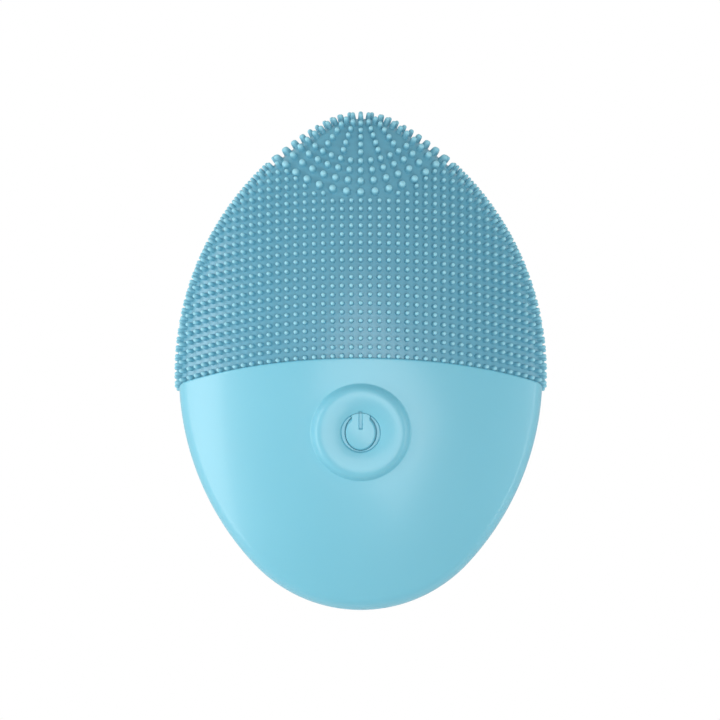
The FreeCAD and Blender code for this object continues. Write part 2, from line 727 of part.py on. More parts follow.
def chip(x, y, width, length, height, pins, top_side=True):
    """A moulded chip with a row of short legs along both sides."""
    body = on_board(x, y, width, length, height, top_side)
    pitch = length / pins
    for side in (-1, 1):
        for i in range(pins):
            leg_y = y - length / 2 + (i + 0.5) * pitch
            leg_x = x + side * (width / 2 + 0.4)
            body = body.fuse(on_board(leg_x, leg_y, 0.8, pitch * 0.4, height * 0.3, top_side))
    return body.removeSplitter()


def chip_resistors():
    places = ((-8.0, 3.0), (-8.0, 0.8), (-8.0, -1.4), (7.5, 3.4), (7.5, -3.6))
    return Part.makeCompound([on_board(x, y, 1.6, 0.8, 0.5) for x, y in places])


def capacitors():
    places = ((-4.6, 6.6), (0.0, 6.6), (5.0, -6.8))
    return Part.makeCompound([on_board(x, y, 2.0, 1.25, 1.2) for x, y in places])


CONNECTOR_Y = -8.0
CONNECTOR_SIZE = (6.0, 4.4, 4.0)


def battery_connector():
    width, length, height = CONNECTOR_SIZE
    return on_board(0, CONNECTOR_Y, width, length, height, False)


# ======================================================================================================
# Battery
# ======================================================================================================


def battery_cell():
    half_x = BATTERY_WIDTH / 2
    half_y = BATTERY_LENGTH / 2
    z1 = BATTERY_BOTTOM_Z + BATTERY_THICKNESS
    cell = box(-half_x, half_x, BATTERY_Y - half_y, BATTERY_Y + half_y, BATTERY_BOTTOM_Z, z1)
    upright_edges = [e for e in cell.Edges if abs(e.tangentAt(e.FirstParameter).z) > 0.99]
    return cell.makeFillet(BATTERY_ROUND, upright_edges)


def battery_end():
    return BATTERY_Y + BATTERY_LENGTH / 2


def battery_guard():
    """The small protection board across the cell's tip end."""
    third = BATTERY_WIDTH / 3
    z0 = BATTERY_BOTTOM_Z + 0.25 * BATTERY_THICKNESS
    return box(-third, third, battery_end(), battery_end() + GUARD_LENGTH, z0, z0 + 0.5 * BATTERY_THICKNESS)


def guard_top():
    return BATTERY_BOTTOM_Z + 0.75 * BATTERY_THICKNESS


def battery_pad(cavity):
    """Foam between the cell and the curved floor."""
    half_x = BATTERY_WIDTH * 0.36
    y0 = BATTERY_Y - BATTERY_LENGTH * 0.32
    y1 = BATTERY_Y + BATTERY_LENGTH * 0.32
    return box(-half_x, half_x, y0, y1, 0, BATTERY_BOTTOM_Z).common(cavity)


def battery_lead(x):
    """A lead from the protection board, over the cell, into the connector under the circuit board."""
    y_guard = battery_end() + GUARD_LENGTH / 2
    z_run = BATTERY_BOTTOM_Z + BATTERY_THICKNESS + 2 * WIRE_RADIUS
    width, length, height = CONNECTOR_SIZE
    low = BOARD_TOP_Z - BOARD_THICKNESS - 0.75 * height
    plug = button_point(x / 2, CONNECTOR_Y + length / 2 + 2 * GAP, low)
    return wire_run(
        [
            V(x, y_guard, guard_top()),
            V(x, y_guard, z_run + WIRE_RADIUS),
            V(x, BATTERY_Y, z_run),
            plug,
        ]
    )


# ======================================================================================================
# Motor
# ======================================================================================================


def motor_can():
    end = MOTOR_START_Y + MOTOR_LENGTH
    can = along_y(MOTOR_RADIUS, MOTOR_START_Y, end, z=MOTOR_Z)
    hollow = along_y(MOTOR_RADIUS - MOTOR_WALL, MOTOR_START_Y - 1, end - MOTOR_WALL, z=MOTOR_Z)
    hole = along_y(BUSH_RADIUS, end - 2 * MOTOR_WALL, end + 1, z=MOTOR_Z)
    return can.cut(hollow).cut(hole)


def motor_endcap():
    radius = MOTOR_RADIUS - MOTOR_WALL
    cap = along_y(radius, MOTOR_START_Y, MOTOR_START_Y + ENDCAP_LENGTH, z=MOTOR_Z)
    bore = along_y(SHAFT_RADIUS + RUNNING, MOTOR_START_Y + 0.8, MOTOR_START_Y + FAR, z=MOTOR_Z)
    return cap.cut(bore)


def motor_bush():
    end = MOTOR_START_Y + MOTOR_LENGTH
    bush = along_y(BUSH_RADIUS, end - BUSH_LENGTH + MOTOR_WALL, end + MOTOR_WALL, z=MOTOR_Z)
    return bush.cut(along_y(SHAFT_RADIUS + RUNNING, MOTOR_START_Y, end + 2 * BUSH_LENGTH, z=MOTOR_Z))


def core_start():
    return MOTOR_START_Y + ENDCAP_LENGTH + 1.2


def motor_magnets():
    """Two curved magnets against the can's wall."""
    outer = MOTOR_RADIUS - MOTOR_WALL
    start = core_start()
    ring = along_y(outer, start, start + MAGNET_LENGTH, z=MOTOR_Z)
    ring = ring.cut(along_y(outer - MAGNET_THICKNESS, start - 1, start + MAGNET_LENGTH + 1, z=MOTOR_Z))
    slit = 0.25 * MOTOR_RADIUS
    gap = box(-slit, slit, start - 1, start + MAGNET_LENGTH + 1, 0, FRONT_HEIGHT)
    return ring.cut(gap)


def motor_shaft():
    return along_y(SHAFT_RADIUS, MOTOR_START_Y + 1.0, SHAFT_END_Y, z=MOTOR_Z)


def rotor_core():
    start = core_start() + (MAGNET_LENGTH - CORE_LENGTH) / 2
    core = along_y(CORE_RADIUS, start, start + CORE_LENGTH, z=MOTOR_Z)
    for angle in (90, 210, 330):
        lean = math.radians(angle)
        x = CORE_RADIUS * math.cos(lean)
        z = MOTOR_Z + CORE_RADIUS * math.sin(lean)
        core = core.cut(along_y(0.25 * CORE_RADIUS, start - 1, start + CORE_LENGTH + 1, x=x, z=z))
    return core.cut(along_y(SHAFT_RADIUS, start - 1, start + CORE_LENGTH + 1, z=MOTOR_Z))


def eccentric_weight():
    """A half disc with a hub, pressed on the shaft's end. It hangs down at rest."""
    start = SHAFT_END_Y - WEIGHT_LENGTH - 0.5
    end = start + WEIGHT_LENGTH
    disc = along_y(WEIGHT_RADIUS, start, end, z=MOTOR_Z)
    disc = disc.common(box(-FAR, FAR, -FAR, FAR, 0, MOTOR_Z))
    weight = disc.fuse(along_y(WEIGHT_HUB_RADIUS, start, end, z=MOTOR_Z))
    return weight.cut(along_y(SHAFT_RADIUS, start - 1, end + 1, z=MOTOR_Z)).removeSplitter()


def motor_sleeve():
    y0 = motor_middle() - SLEEVE_LENGTH / 2
    tube = along_y(MOTOR_RADIUS + SLEEVE_WALL, y0, y0 + SLEEVE_LENGTH, z=MOTOR_Z)
    return tube.cut(along_y(MOTOR_RADIUS, y0 - 1, y0 + SLEEVE_LENGTH + 1, z=MOTOR_Z))


def motor_clamp():
    """The arch over the motor, with an ear each side."""
    y0 = motor_middle() - CLAMP_LENGTH / 2
    inner = MOTOR_RADIUS + SLEEVE_WALL
    arch = along_y(inner + CLAMP_WALL, y0, y0 + CLAMP_LENGTH, z=MOTOR_Z)
    ears = box(-CLAMP_EAR, CLAMP_EAR, y0, y0 + CLAMP_LENGTH, MOTOR_Z, MOTOR_Z + CLAMP_WALL)
    clamp = arch.fuse(ears).cut(along_y(inner, y0 - 1, y0 + CLAMP_LENGTH + 1, z=MOTOR_Z))
    clamp = clamp.common(box(-FAR, FAR, -FAR, FAR, MOTOR_Z, FAR))
    for x in (-CLAMP_SCREW_X, CLAMP_SCREW_X):
        clamp = clamp.cut(upright(SCREW_RADIUS + SCREW_PLAY, x, motor_middle(), 0, FRONT_HEIGHT))
    return clamp.removeSplitter()


def clamp_screws():
    seat_z = MOTOR_Z + CLAMP_WALL
    length = CLAMP_WALL + THREAD_LENGTH
    head = 0.8 * SCREW_HEAD_RADIUS
    seats = [V(x, motor_middle(), seat_z) for x in (-CLAMP_SCREW_X, CLAMP_SCREW_X)]
    screws = [screw(head, SCREW_HEAD_HEIGHT, SCREW_RADIUS, length, seat, -Z) for seat in seats]
    return Part.makeCompound(screws)


def motor_lead(x):
    """A lead from the motor's end cap up to the under side of the circuit board."""
    target = button_point(x, BOARD_LENGTH / 2 - 1.5, BOARD_TOP_Z - BOARD_THICKNESS - SOLDER_GAP)
    z_run = BATTERY_BOTTOM_Z + BATTERY_THICKNESS + 5 * WIRE_RADIUS
    return wire_run(
        [
            V(x, MOTOR_START_Y, MOTOR_Z),
            V(x, MOTOR_START_Y - 2.5, MOTOR_Z),
            V(x, target.y, z_run),
            target,
        ]
    )


# ======================================================================================================
# Charging socket and its cover
# ======================================================================================================


def socket_face():
    return -BOTTOM_LENGTH + SKIN


def flange_start():
    return socket_face() + SHELL_WALL - GAP


def charge_socket():
    face = socket_face()
    body = along_y(SOCKET_RADIUS, face, face + SOCKET_LENGTH)
    body = body.fuse(along_y(FLANGE_RADIUS, flange_start(), flange_start() + FLANGE_LENGTH))
    return body.cut(along_y(SOCKET_BORE_RADIUS, face - 1, face + SOCKET_BORE_LENGTH))


def socket_seal():
    """A round ring between the socket's flange and the shells."""
    ring = SOCKET_RADIUS + GAP + SEAL_SECTION
    return Part.makeTorus(ring, SEAL_SECTION, V(0, flange_start() - SEAL_SECTION, PARTING_Z), Y)


def socket_terminals():
    back = socket_face() + SOCKET_LENGTH
    tabs = []
    for x in (-TERMINAL_X, TERMINAL_X):
        tabs.append(box(x - 0.6, x + 0.6, back, back + TERMINAL_LENGTH, PARTING_Z - 0.15, PARTING_Z + 0.15))
    return Part.makeCompound(tabs)


def charge_lead(x):
    """A lead from a socket terminal up to the under side of the circuit board."""
    start = V(x, socket_face() + SOCKET_LENGTH + TERMINAL_LENGTH, PARTING_Z)
    target = button_point(3 * x, -BOARD_LENGTH / 2 + 1.0, BOARD_TOP_Z - BOARD_THICKNESS - SOLDER_GAP)
    first = V(x, start.y + 2.0, PARTING_Z)
    second = V(target.x, target.y - 1.0, PARTING_Z + 0.8)
    return wire_run([start, first, second, target])


def port_cover(outer):
    plate = cover_prism(0).common(outer.cut(pebble(COVER_THICKNESS)))
    inner = -BOTTOM_LENGTH + COVER_THICKNESS
    nose = along_y(NOSE_RADIUS, inner - COVER_THICKNESS / 2, inner + NOSE_LENGTH)
    return plate.fuse(nose).removeSplitter()


# ======================================================================================================
# Assembly
# ======================================================================================================


def build():
    outer = pebble(0)
    shell_space = pebble(SKIN)
    cavity = pebble(INNER)
    inside = pebble(SKIN + SHELL_WALL / 2)
    return {
        "bristle_sleeve": bristle_sleeve(outer, shell_space),
        "bristles": all_bristles(),
        "grip_skin": grip_skin(outer, shell_space),
        "power_button": power_button(),
        "port_frame": port_frame(outer, shell_space),
        "port_cover": port_cover(outer),
        "front_shell": front_shell(shell_space, cavity, inside),
        "rear_shell": rear_shell(shell_space, cavity, inside),
        "shell_gasket": gasket_groove(),
        "case_screws": case_screws(),
        "circuit_board": circuit_board(),
        "board_screws": board_screws(),
        "switch_body": switch_body(),
        "switch_stem": switch_stem(),
        "indicator_led": on_board(4.9, 0.0, 1.6, 2.0, 0.8),
        "control_chip": chip(-4.5, 1.5, 3.9, 4.9, 1.4, 4, False),
        "charge_chip": chip(5.0, 3.0, 1.6, 2.9, 1.1, 3, False),
        "motor_transistor": chip(6.0, 7.0, 1.4, 2.8, 1.0, 2),
        "chip_resistors": chip_resistors(),
        "capacitors": capacitors(),
        "battery_connector": battery_connector(),
        "battery_cell": battery_cell(),
        "battery_guard": battery_guard(),
        "battery_pad": battery_pad(cavity),
        "battery_lead_positive": battery_lead(3.8),
        "battery_lead_negative": battery_lead(-3.8),
        "motor_can": motor_can(),
        "motor_endcap": motor_endcap(),
        "motor_bush": motor_bush(),
        "motor_magnets": motor_magnets(),
        "motor_shaft": motor_shaft(),
        "rotor_core": rotor_core(),
        "eccentric_weight": eccentric_weight(),
        "motor_sleeve": motor_sleeve(),
        "motor_clamp": motor_clamp(),
        "clamp_screws": clamp_screws(),
        "motor_lead_positive": motor_lead(1.4),
        "motor_lead_negative": motor_lead(-1.4),
        "charge_socket": charge_socket(),
        "socket_seal": socket_seal(),
        "socket_terminals": socket_terminals(),
        "charge_lead_positive": charge_lead(TERMINAL_X),
        "charge_lead_negative": charge_lead(-TERMINAL_X),
    }


os.makedirs("parts", exist_ok=True)
for node, shape in build().items():
    shape.exportStep("parts/" + node + ".step")
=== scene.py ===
import json
import math

import bmesh
import bpy
import numpy as np
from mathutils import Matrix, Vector
from mathutils.bvhtree import BVHTree

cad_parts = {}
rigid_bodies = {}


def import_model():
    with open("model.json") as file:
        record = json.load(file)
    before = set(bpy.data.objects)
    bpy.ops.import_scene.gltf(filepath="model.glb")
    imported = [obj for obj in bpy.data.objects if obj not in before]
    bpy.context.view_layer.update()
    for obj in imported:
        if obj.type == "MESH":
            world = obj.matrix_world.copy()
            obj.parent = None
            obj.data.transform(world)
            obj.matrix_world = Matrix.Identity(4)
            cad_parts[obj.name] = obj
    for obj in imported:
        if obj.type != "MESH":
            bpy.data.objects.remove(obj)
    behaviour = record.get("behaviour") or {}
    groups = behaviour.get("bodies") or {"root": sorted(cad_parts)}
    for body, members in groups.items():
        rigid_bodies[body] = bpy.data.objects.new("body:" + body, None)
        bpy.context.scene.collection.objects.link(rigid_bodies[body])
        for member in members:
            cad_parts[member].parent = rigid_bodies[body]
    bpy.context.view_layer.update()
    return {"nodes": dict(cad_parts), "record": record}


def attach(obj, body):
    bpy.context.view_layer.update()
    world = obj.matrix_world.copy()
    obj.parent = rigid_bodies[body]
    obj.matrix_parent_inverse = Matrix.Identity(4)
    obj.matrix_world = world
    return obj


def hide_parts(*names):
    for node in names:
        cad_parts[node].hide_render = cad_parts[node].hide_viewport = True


# Looks of the facial cleansing brush. Shapes are worked out in millimetres and turned to metres at the end.

MM = 0.001

for leftover in list(bpy.data.objects):  # the start-up scene's own cube, lamp and camera
    bpy.data.objects.remove(leftover)

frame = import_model()

# ---- the body's sizes, as in the CAD part --------------------------------------------------------------
HALF_WIDTH = 33.0
ENDS = {1: (46.8, 51.6), -1: (42.85, 50.4)}  # way along Y: length, side radius
FRONT_HEIGHT = 27.4
FRONT_CROSS, FRONT_LONG = 49.0, 95.0
BACK_SINK = 0.4
BACK_CROSS, BACK_LONG = 60.0, 120.0
RIM = 3.8
SLEEVE_INSET = 0.5
SEAM_Y, SEAM_TILT = 2.93, math.radians(20.0)
PORT_Z, PORT_X_HALF, PORT_Z_HALF, PORT_ROUND, PORT_DEPTH = 12.4, 5.75, 3.75, 2.25, 1.0
PORT_HOLE = 1.9
BUTTON_Y = -10.6
PAD_X, PAD_Y = 11.0, 15.0

# ---- the button, in its own frame ----------------------------------------------------------------------
HOLE_EDGE = 3.59  # radius inside which the key's hole is open down to the ledge
LEDGE_Z = -0.45
GROOVE_RISE = 0.35  # how much higher the groove's floor is shown outside the key's outline
RING_FILLET = 0.22  # softness of the line where the ring meets the body
RING_END, RING_BLEND = 9.9, 1.5  # where the round rings start to turn into the body's own, and over how far
KEY_TOP, KEY_DOME = 0.75, 16.0
KEY_SIDE_Z, KEY_BOTTOM_Z = 0.2, -0.1
KEY_STEM, KEY_STEM_Z = 1.95, -4.8
TICK = (0.325, 0.7, 3.9, 0.16)  # half width, start, end and softness of the power sign's upright stroke
TICK_ON_RING, TICK_ON_KEY = 0.05, 0.15  # heights of the stroke's floor
PORT_WALL = 0.95  # depth of the wall round the way to the socket


def front_z(y):
    return FRONT_HEIGHT - FRONT_LONG + math.sqrt(FRONT_LONG**2 - y * y)


BUTTON = np.array([0.0, BUTTON_Y, front_z(BUTTON_Y)])
TILT = math.asin(-BUTTON_Y / FRONT_LONG)
BUTTON_UP = np.array([0.0, -math.sin(TILT), math.cos(TILT)])
BUTTON_AHEAD = np.array([0.0, math.cos(TILT), math.sin(TILT)])


# ---- the body's surface: every point is a core point plus a distance along its normal ------------------
def end_cap(length, side):
    return (2 * HALF_WIDTH * side - HALF_WIDTH**2 - length**2) / (2 * (side - length))


def outline(angles, inset, origin):
    """Points of the egg outline, drawn in by inset, in directions seen from origin, and outward normals."""
    points, normals = [], []
    for a in angles:
        d = np.array([math.cos(a), math.sin(a)])
        best = None
        for way, (length, side) in ENDS.items():
            cap = end_cap(length, side)
            arcs = [((HALF_WIDTH - side) * s, 0.0, side - inset, "side", s) for s in (1, -1)]
            arcs.append((0.0, way * (length - cap), cap - inset, "end", 0))
            lean = math.atan2(length - cap, side - HALF_WIDTH)
            for cx, cy, r, kind, s in arcs:
                c = np.array([cx, cy]) - origin
                b = d @ c
                disc = b * b - c @ c + r * r
                if disc < 0:
                    continue
                t = b + math.sqrt(disc)
                p = origin + t * d
                n = (p - np.array([cx, cy])) / r
                steep = math.atan2(way * n[1], abs(n[0]))
                if kind == "side" and (way * p[1] < -1e-6 or steep > lean + 1e-6 or s * n[0] < 0):
                    continue
                if kind == "end" and steep < lean - 1e-6:
                    continue
                if best is None or t > best[0]:
                    best = (t, p, n)
        points.append(best[1])
        normals.append(best[2])
    return np.array(points), np.array(normals)


def dome_point(xy, front, inset):
    """Height and outward normal of a dome drawn in by inset, above points in the plane."""
    if front:
        rc, rl, top, way = FRONT_CROSS - inset, FRONT_LONG - inset, FRONT_HEIGHT - inset, 1.0
    else:
        rc, rl, top, way = BACK_CROSS - inset, BACK_LONG - inset, inset - BACK_SINK, -1.0
    x, y = xy[:, 0], xy[:, 1]
    ring = rl - rc + np.sqrt(rc * rc - x * x)
    z = top + way * (np.sqrt(ring * ring - y * y) - rl)
    tube = np.sqrt(rc * rc - x * x)
    upward = way * (tube / rc) * np.sqrt(ring * ring - y * y) / ring
    n = np.stack([x / rc, (tube / rc) * y / ring, upward], 1)
    return z, n / np.linalg.norm(n, axis=1, keepdims=True)


def body_rings(origin, radii, around, inset):
    """Closed grid round the whole body, from a front pole to the back's pole.

    radii are distances from the pole, in the core's plane, at which the rings stay round. Beyond them the
    rings turn into the outline.
    """
    angles = np.linspace(0, 2 * math.pi, around, endpoint=False)
    edge, wall_n = outline(angles, RIM, origin)
    reach = np.linalg.norm(edge - origin, axis=1)
    direction = np.stack([np.cos(angles), np.sin(angles)], 1)
    distance = RIM - inset
    rings = []
    last = radii[-1]
    spread = [("r", r) for r in radii] + [("s", s) for s in np.linspace(0, 1, 54)[1:]]
    for kind, v in spread:
        d = np.full(around, v) if kind == "r" else last + (reach - last) * v
        xy = origin + direction * d[:, None]
        z, n = dome_point(xy, True, RIM)
        core = np.column_stack([xy, z])
        rings.append((core, n))
    front_core, front_n = rings[-1]
    wall = np.column_stack([wall_n, np.zeros(around)])
    zb, back_n = dome_point(edge, False, RIM)

    def between(a, b, share):
        dot = np.clip((a * b).sum(1), -1, 1)
        w = np.arccos(dot)
        n = (np.sin((1 - share) * w)[:, None] * a + np.sin(share * w)[:, None] * b) / np.sin(w)[:, None]
        return n / np.linalg.norm(n, axis=1, keepdims=True)

    for share in np.linspace(0, 1, 13)[1:]:
        rings.append((front_core, between(front_n, wall, share)))
    back_core = np.column_stack([edge, zb])
    for share in np.linspace(0, 1, 5)[1:]:
        rings.append((front_core * (1 - share) + back_core * share, wall))
    for share in np.linspace(0, 1, 11)[1:]:
        rings.append((back_core, between(wall, back_n, share)))
    for s in np.linspace(1, 0.0, 30)[1:]:
        xy = origin + (edge - origin) * max(s, 1e-4)
        z, n = dome_point(xy, False, RIM)
        rings.append((np.column_stack([xy, z]), n))
    points = np.array([c + n * distance for c, n in rings])
    normals = np.array([n for _, n in rings])
    return points, normals


def grid_faces(rings, around):
    faces = []
    for i in range(rings - 1):
        for j in range(around):
            k = (j + 1) % around
            faces.append((i * around + j, (i + 1) * around + j, (i + 1) * around + k, i * around + k))
    return faces


def smooth(t):
    t = np.clip(t, 0.0, 1.0)
    return t * t * (3 - 2 * t)


def to_button(points):
    rel = points - BUTTON
    return np.stack([rel[..., 0], rel @ BUTTON_AHEAD, rel @ BUTTON_UP], -1)


def from_button(local):
    return (
        BUTTON
        + local[..., :1] * np.array([1.0, 0.0, 0.0])
        + local[..., 1:2] * BUTTON_AHEAD
        + local[..., 2:3] * BUTTON_UP
    )


def sharp_ring_height(r):
    """Height of the raised ring round the key above the surface's tangent plane."""
    crest_r, crest_h, inner, outer = 7.2, 1.0, 10.0, 1.9
    inside = crest_h - inner + np.sqrt(np.maximum(inner**2 - (crest_r - r) ** 2, 0))
    over = np.clip(r - crest_r, 0, outer)
    outside = crest_h - outer + np.sqrt(outer**2 - over**2)
    outside = np.where(r > crest_r + outer, -3.0 * (r - crest_r - outer) + crest_h - outer, outside)
    return np.where(r < crest_r, inside, outside)


def ring_height(r):
    """The ring with its crest softened, as moulded silicone is."""
    spread = np.linspace(-0.9, 0.9, 9)
    return sum(sharp_ring_height(r + d) for d in spread) / len(spread)


def neck_share(phi):
    """1 where the key reaches its hole's wall, at the top, and 0 elsewhere."""
    off = np.abs((phi - math.pi / 2 + math.pi) % (2 * math.pi) - math.pi)
    return smooth((math.radians(31.0) - off) / math.radians(5.0) + 0.5)


def soft_max(a, b, k):
    h = np.clip(0.5 + 0.5 * (a - b) / k, 0, 1)
    return b * (1 - h) + a * h + k * h * (1 - h)


def tick_depth(x, y, half, start, end, edge):
    """1 inside the upright stroke of the power sign, 0 outside, with soft edges."""
    inside = smooth((half - np.abs(x)) / edge + 0.5)
    return inside * smooth((y - start) / edge + 0.5) * smooth((end - y) / edge + 0.5)


def new_object(name, verts, faces):
    mesh = bpy.data.meshes.new(name)
    mesh.from_pydata([tuple(v) for v in (np.asarray(verts) * MM)], [], faces)
    mesh.validate()
    mesh.polygons.foreach_set("use_smooth", [True] * len(mesh.polygons))
    obj = bpy.data.objects.new(name, mesh)
    bpy.context.scene.collection.objects.link(obj)
    return obj


def object_from(name, bm):
    """The finished object of a mesh that was worked out in millimetres."""
    mesh = bpy.data.meshes.new(name)
    for v in bm.verts:
        v.co *= MM
    bm.to_mesh(mesh)
    bm.free()
    mesh.polygons.foreach_set("use_smooth", [True] * len(mesh.polygons))
    obj = bpy.data.objects.new(name, mesh)
    bpy.context.scene.collection.objects.link(obj)
    return obj


def seam_distance(points):
    """Signed distance to the seam plane: positive on the tip's side."""
    n = np.array([0.0, math.cos(SEAM_TILT), -math.sin(SEAM_TILT)])
    return (points - np.array([0.0, SEAM_Y, front_z(SEAM_Y)])) @ n


def cut_at_seam(bm, keep_tip, offsets):
    n = Vector((0.0, math.cos(SEAM_TILT), -math.sin(SEAM_TILT)))
    base = Vector((0.0, SEAM_Y, front_z(SEAM_Y)))
    for d in offsets:
        geom = bm.verts[:] + bm.edges[:] + bm.faces[:]
        bmesh.ops.bisect_plane(
            bm,
            geom=geom,
            dist=1e-5,
            plane_co=base + n * d,
            plane_no=n,
            clear_inner=keep_tip and d == 0.0,
            clear_outer=(not keep_tip) and d == 0.0,
        )


# ---- grip skin -----------------------------------------------------------------------------------------
def grip_mesh():
    radii = np.concatenate(
        [
            np.array([2.1, 2.4]),
            np.linspace(2.6, 3.56, 25),
            np.array([3.585, 3.60]),
            np.linspace(3.6, 4.2, 9)[1:],
            np.linspace(4.2, 7.0, 15)[1:],
            np.linspace(7.0, 9.6, 27)[1:],
            np.linspace(9.6, 12.0, 9)[1:],
        ]
    )
    around = 400
    core_share = (FRONT_LONG - RIM) / FRONT_LONG
    origin = np.array([0.0, BUTTON_Y * core_share])
    points, _ = body_rings(origin, radii * core_share, around, 0.0)
    local = to_button(points)
    count = len(radii)
    near = local[:count]
    r = np.tile(radii[:, None], (1, around))
    phi = np.linspace(0, 2 * math.pi, around, endpoint=False)[None, :]
    x, y = r * np.cos(phi), r * np.sin(phi)
    rho = np.hypot(x, y)
    surface = near[..., 2]
    top = soft_max(ring_height(rho), surface, RING_FILLET)
    top = np.where(rho > RING_END, surface, top)
    blend = smooth((rho - RING_END) / RING_BLEND)
    x = x * (1 - blend) + near[..., 0] * blend
    y = y * (1 - blend) + near[..., 1] * blend
    top = top * (1 - blend) + surface * blend
    neck = neck_share(phi)
    beyond_key = smooth((rho - key_reach(phi) - 0.10) / 0.12)
    ledge = LEDGE_Z + GROOVE_RISE * beyond_key
    upright_wall = np.where(rho < HOLE_EDGE, ledge, top)
    slope = smooth((3.70 - rho) / 0.26)
    sloped_wall = top * (1 - slope) + ledge * slope
    top = upright_wall * neck + sloped_wall * (1 - neck)
    notch = tick_depth(x, y, *TICK)
    top = np.where((rho >= HOLE_EDGE) & (notch > 0), top * (1 - notch) + TICK_ON_RING * notch, top)
    local_new = np.stack([x, y, top], -1)
    points[:count] = from_button(local_new)
    points[..., 2] = np.maximum(points[..., 2], 0.0)
    return points, around


def rounded_rect(x, z, half_x, half_z, r):
    """Distance outside a rectangle with round corners: negative inside."""
    qx = np.abs(x) - (half_x - r)
    qz = np.abs(z) - (half_z - r)
    return np.hypot(np.maximum(qx, 0), np.maximum(qz, 0)) + np.minimum(np.maximum(qx, qz), 0) - r


def port_corner_planes():
    """Planes that trace the port's outline: four sides and the corners' tangents."""
    planes = []
    for sx in (1, -1):
        for sz in (1, -1):
            cx, cz = sx * (PORT_X_HALF - PORT_ROUND), PORT_Z + sz * (PORT_Z_HALF - PORT_ROUND)
            for i in range(7):
                a = math.pi / 2 * i / 6
                n = Vector((sx * math.cos(a), 0.0, sz * math.sin(a)))
                planes.append((Vector((cx, 0.0, cz)) + n * PORT_ROUND, n))
    return planes


def inset_tree(depth):
    points, _ = body_rings(np.array([0.0, -20.0]), np.array([0.2, 1.0]), 360, depth)
    rings = len(points)
    verts = [Vector(p) for p in points.reshape(-1, 3)]
    return BVHTree.FromPolygons(verts, grid_faces(rings, 360))


def cut_port_hole(bm):
    """Cuts the round way to the socket through the pocket's floor, and gives it a wall."""
    sides = [2 * math.pi * i / 32 for i in range(32)]

    def near(reach):
        found = []
        for f in bm.faces:
            c = f.calc_center_median()
            if c.y < -30 and math.hypot(c.x, c.z - PORT_Z) < reach:
                found.append(f)
        return found

    for a in sides:
        n = Vector((math.cos(a), 0.0, math.sin(a)))
        geom = set()
        for f in near(3.2):
            geom.update([f, *f.edges, *f.verts])
        plane = Vector((0.0, 0.0, PORT_Z)) + n * PORT_HOLE
        bmesh.ops.bisect_plane(bm, geom=list(geom), dist=1e-5, plane_co=plane, plane_no=n)
    hole = []
    for f in near(PORT_HOLE * 1.2):
        c = f.calc_center_median()
        if max(c.x * math.cos(a) + (c.z - PORT_Z) * math.sin(a) for a in sides) < PORT_HOLE:
            hole.append(f)
    bmesh.ops.delete(bm, geom=hole, context="FACES")
    rim = []
    for e in bm.edges:
        c = (e.verts[0].co + e.verts[1].co) / 2
        if e.is_boundary and c.y < -30 and math.hypot(c.x, c.z - PORT_Z) < PORT_HOLE * 1.1:
            rim.append(e)
    made = bmesh.ops.extrude_edge_only(bm, edges=rim)
    for v in made["geom"]:
        if isinstance(v, bmesh.types.BMVert):
            v.co.y += PORT_WALL


def make_grip():
    points, around = grip_mesh()
    rings = len(points)
    bm = bmesh.new()
    vs = [bm.verts.new(p) for p in points.reshape(-1, 3)]
    bm.verts.ensure_lookup_table()
    for f in grid_faces(rings, around):
        bm.faces.new([vs[i] for i in f])
    bmesh.ops.remove_doubles(bm, verts=bm.verts[:], dist=1e-4)
    cut_at_seam(bm, False, [-0.3, -0.22, -0.14, -0.08, -0.03, 0.0])
    bm.normal_update()
    for v in bm.verts:
        d = -seam_distance(np.array(v.co))
        if d < 0.3:
            r = 0.3
            drop = r - math.sqrt(max(r * r - (r - d) ** 2, 0.0))
            v.co -= v.normal * drop
    # the port's pocket
    for co, no in port_corner_planes():
        faces = [f for f in bm.faces if f.calc_center_median().y < -30 and abs(f.calc_center_median().x) < 9]
        geom = set(faces)
        for f in faces:
            geom.update(f.edges)
            geom.update(f.verts)
        bmesh.ops.bisect_plane(bm, geom=list(geom), dist=1e-5, plane_co=co, plane_no=no)
    inside = []
    for f in bm.faces:
        c = f.calc_center_median()
        if c.y < -30 and rounded_rect(c.x, c.z - PORT_Z, PORT_X_HALF, PORT_Z_HALF, PORT_ROUND) < 0:
            inside.append(f)
    tree = inset_tree(PORT_DEPTH)
    made = bmesh.ops.extrude_face_region(bm, geom=inside)
    floor = [g for g in made["geom"] if isinstance(g, bmesh.types.BMVert)]
    for v in floor:
        hit = tree.ray_cast(Vector((v.co.x, -60.0, v.co.z)), Vector((0, 1, 0)))
        if hit[0] is not None:
            v.co.y = hit[0].y
    bmesh.ops.delete(bm, geom=[f for f in inside if f.is_valid], context="FACES_ONLY")
    cut_port_hole(bm)
    bmesh.ops.recalc_face_normals(bm, faces=bm.faces[:])
    return object_from("grip", bm)


# ---- sleeve under the bristles -------------------------------------------------------------------------
def make_sleeve():
    around = 300
    points, normals = body_rings(np.array([0.0, 20.0]), np.array([0.05, 2.0, 5.0]), around, SLEEVE_INSET)
    e = np.hypot(points[..., 0] / PAD_X, points[..., 1] / PAD_Y)
    lower = points[..., 2] < 9.0
    lift = smooth((1.0 - e) / 0.03 + 0.5) * lower
    points = points + normals * (SLEEVE_INSET * lift)[..., None]
    points[..., 2] = np.maximum(points[..., 2], 0.0)
    bm = bmesh.new()
    vs = [bm.verts.new(p) for p in points.reshape(-1, 3)]
    for f in grid_faces(len(points), around):
        bm.faces.new([vs[i] for i in f])
    bmesh.ops.holes_fill(bm, edges=[e for e in bm.edges if e.is_boundary], sides=0)
    cut_at_seam(bm, True, [0.0])
    bmesh.ops.recalc_face_normals(bm, faces=bm.faces[:])
    return object_from("sleeve", bm)


